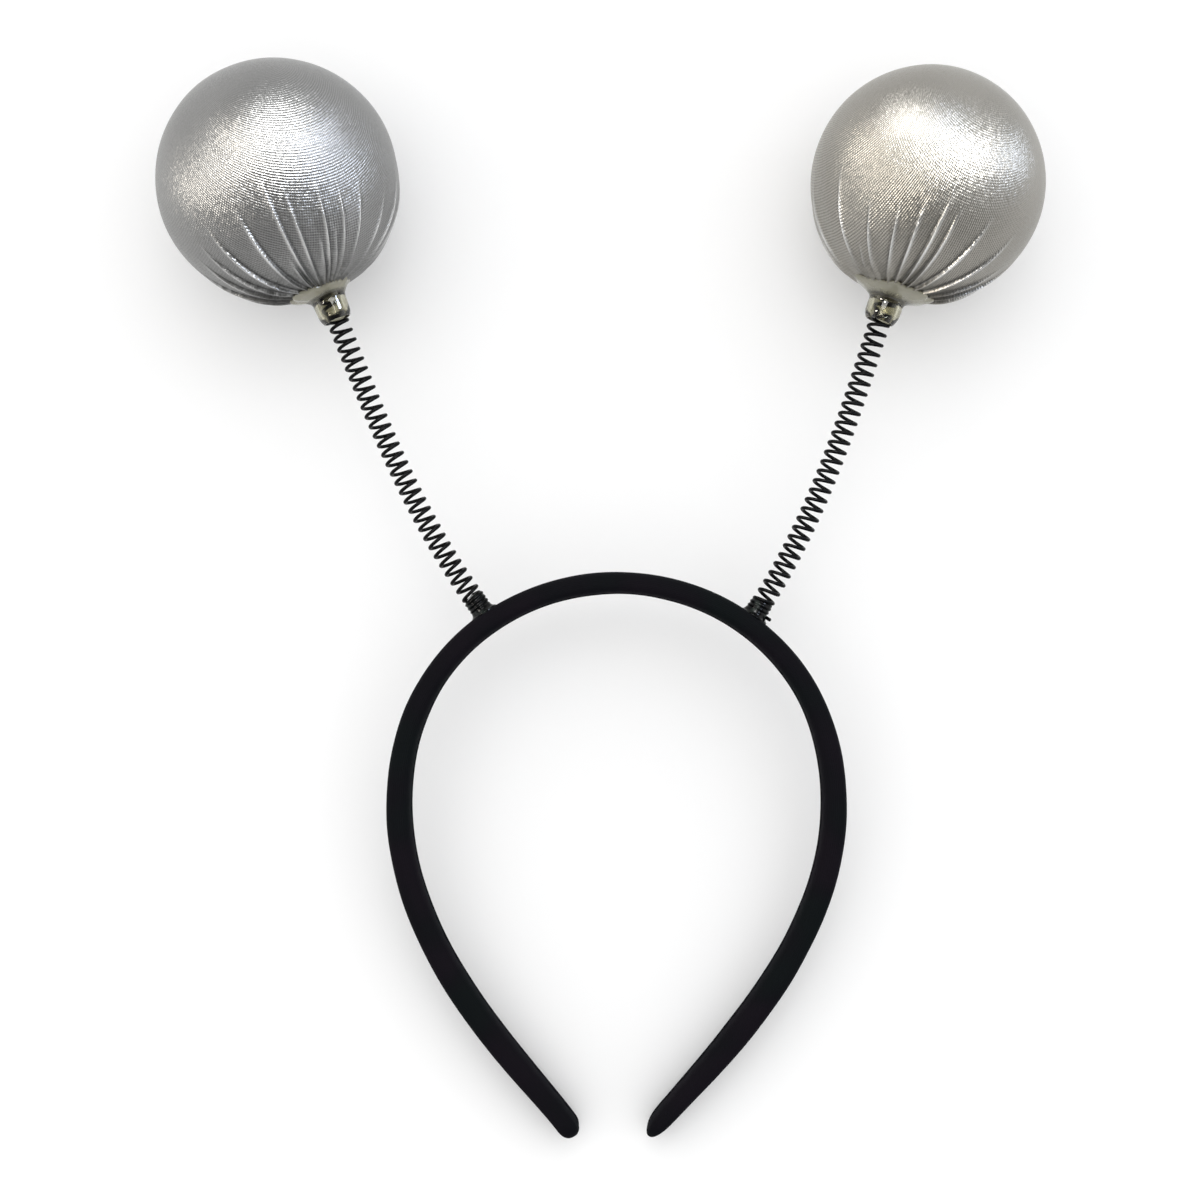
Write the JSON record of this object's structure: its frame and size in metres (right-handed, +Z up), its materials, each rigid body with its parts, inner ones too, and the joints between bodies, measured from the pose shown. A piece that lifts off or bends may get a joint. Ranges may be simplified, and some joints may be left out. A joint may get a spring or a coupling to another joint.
{
  "type": "head bopper",
  "caption": "Padded headband with coil springs that each carry a ball covered in gathered metallic knit.",
  "frame": {"origin": "on the floor under the middle of the object's box, lying on its back", "axes": "+X to the picture's right, +Y from the ends of the band's arms to the balls, +Z up to the side that the picture shows"},
  "size_m": [0.2302, 0.2792, 0.0623],
  "materials": {
    "band_fabric": "matt black brushed fabric, wrapped",
    "foot_glue": "glossy black set glue",
    "spring_wire": "satin black coated spring wire",
    "collar_glue": "clear greenish grey hot glue",
    "ball_knit": "silver metallic knit"
  },
  "bodies": {
    "root": {"headband": "band_fabric", "left_foot": "foot_glue", "right_foot": "foot_glue", "left_spring": "spring_wire", "right_spring": "spring_wire", "left_collar": "collar_glue", "right_collar": "collar_glue", "left_ball": "ball_knit", "right_ball": "ball_knit"}
  },
  "joints": []
}
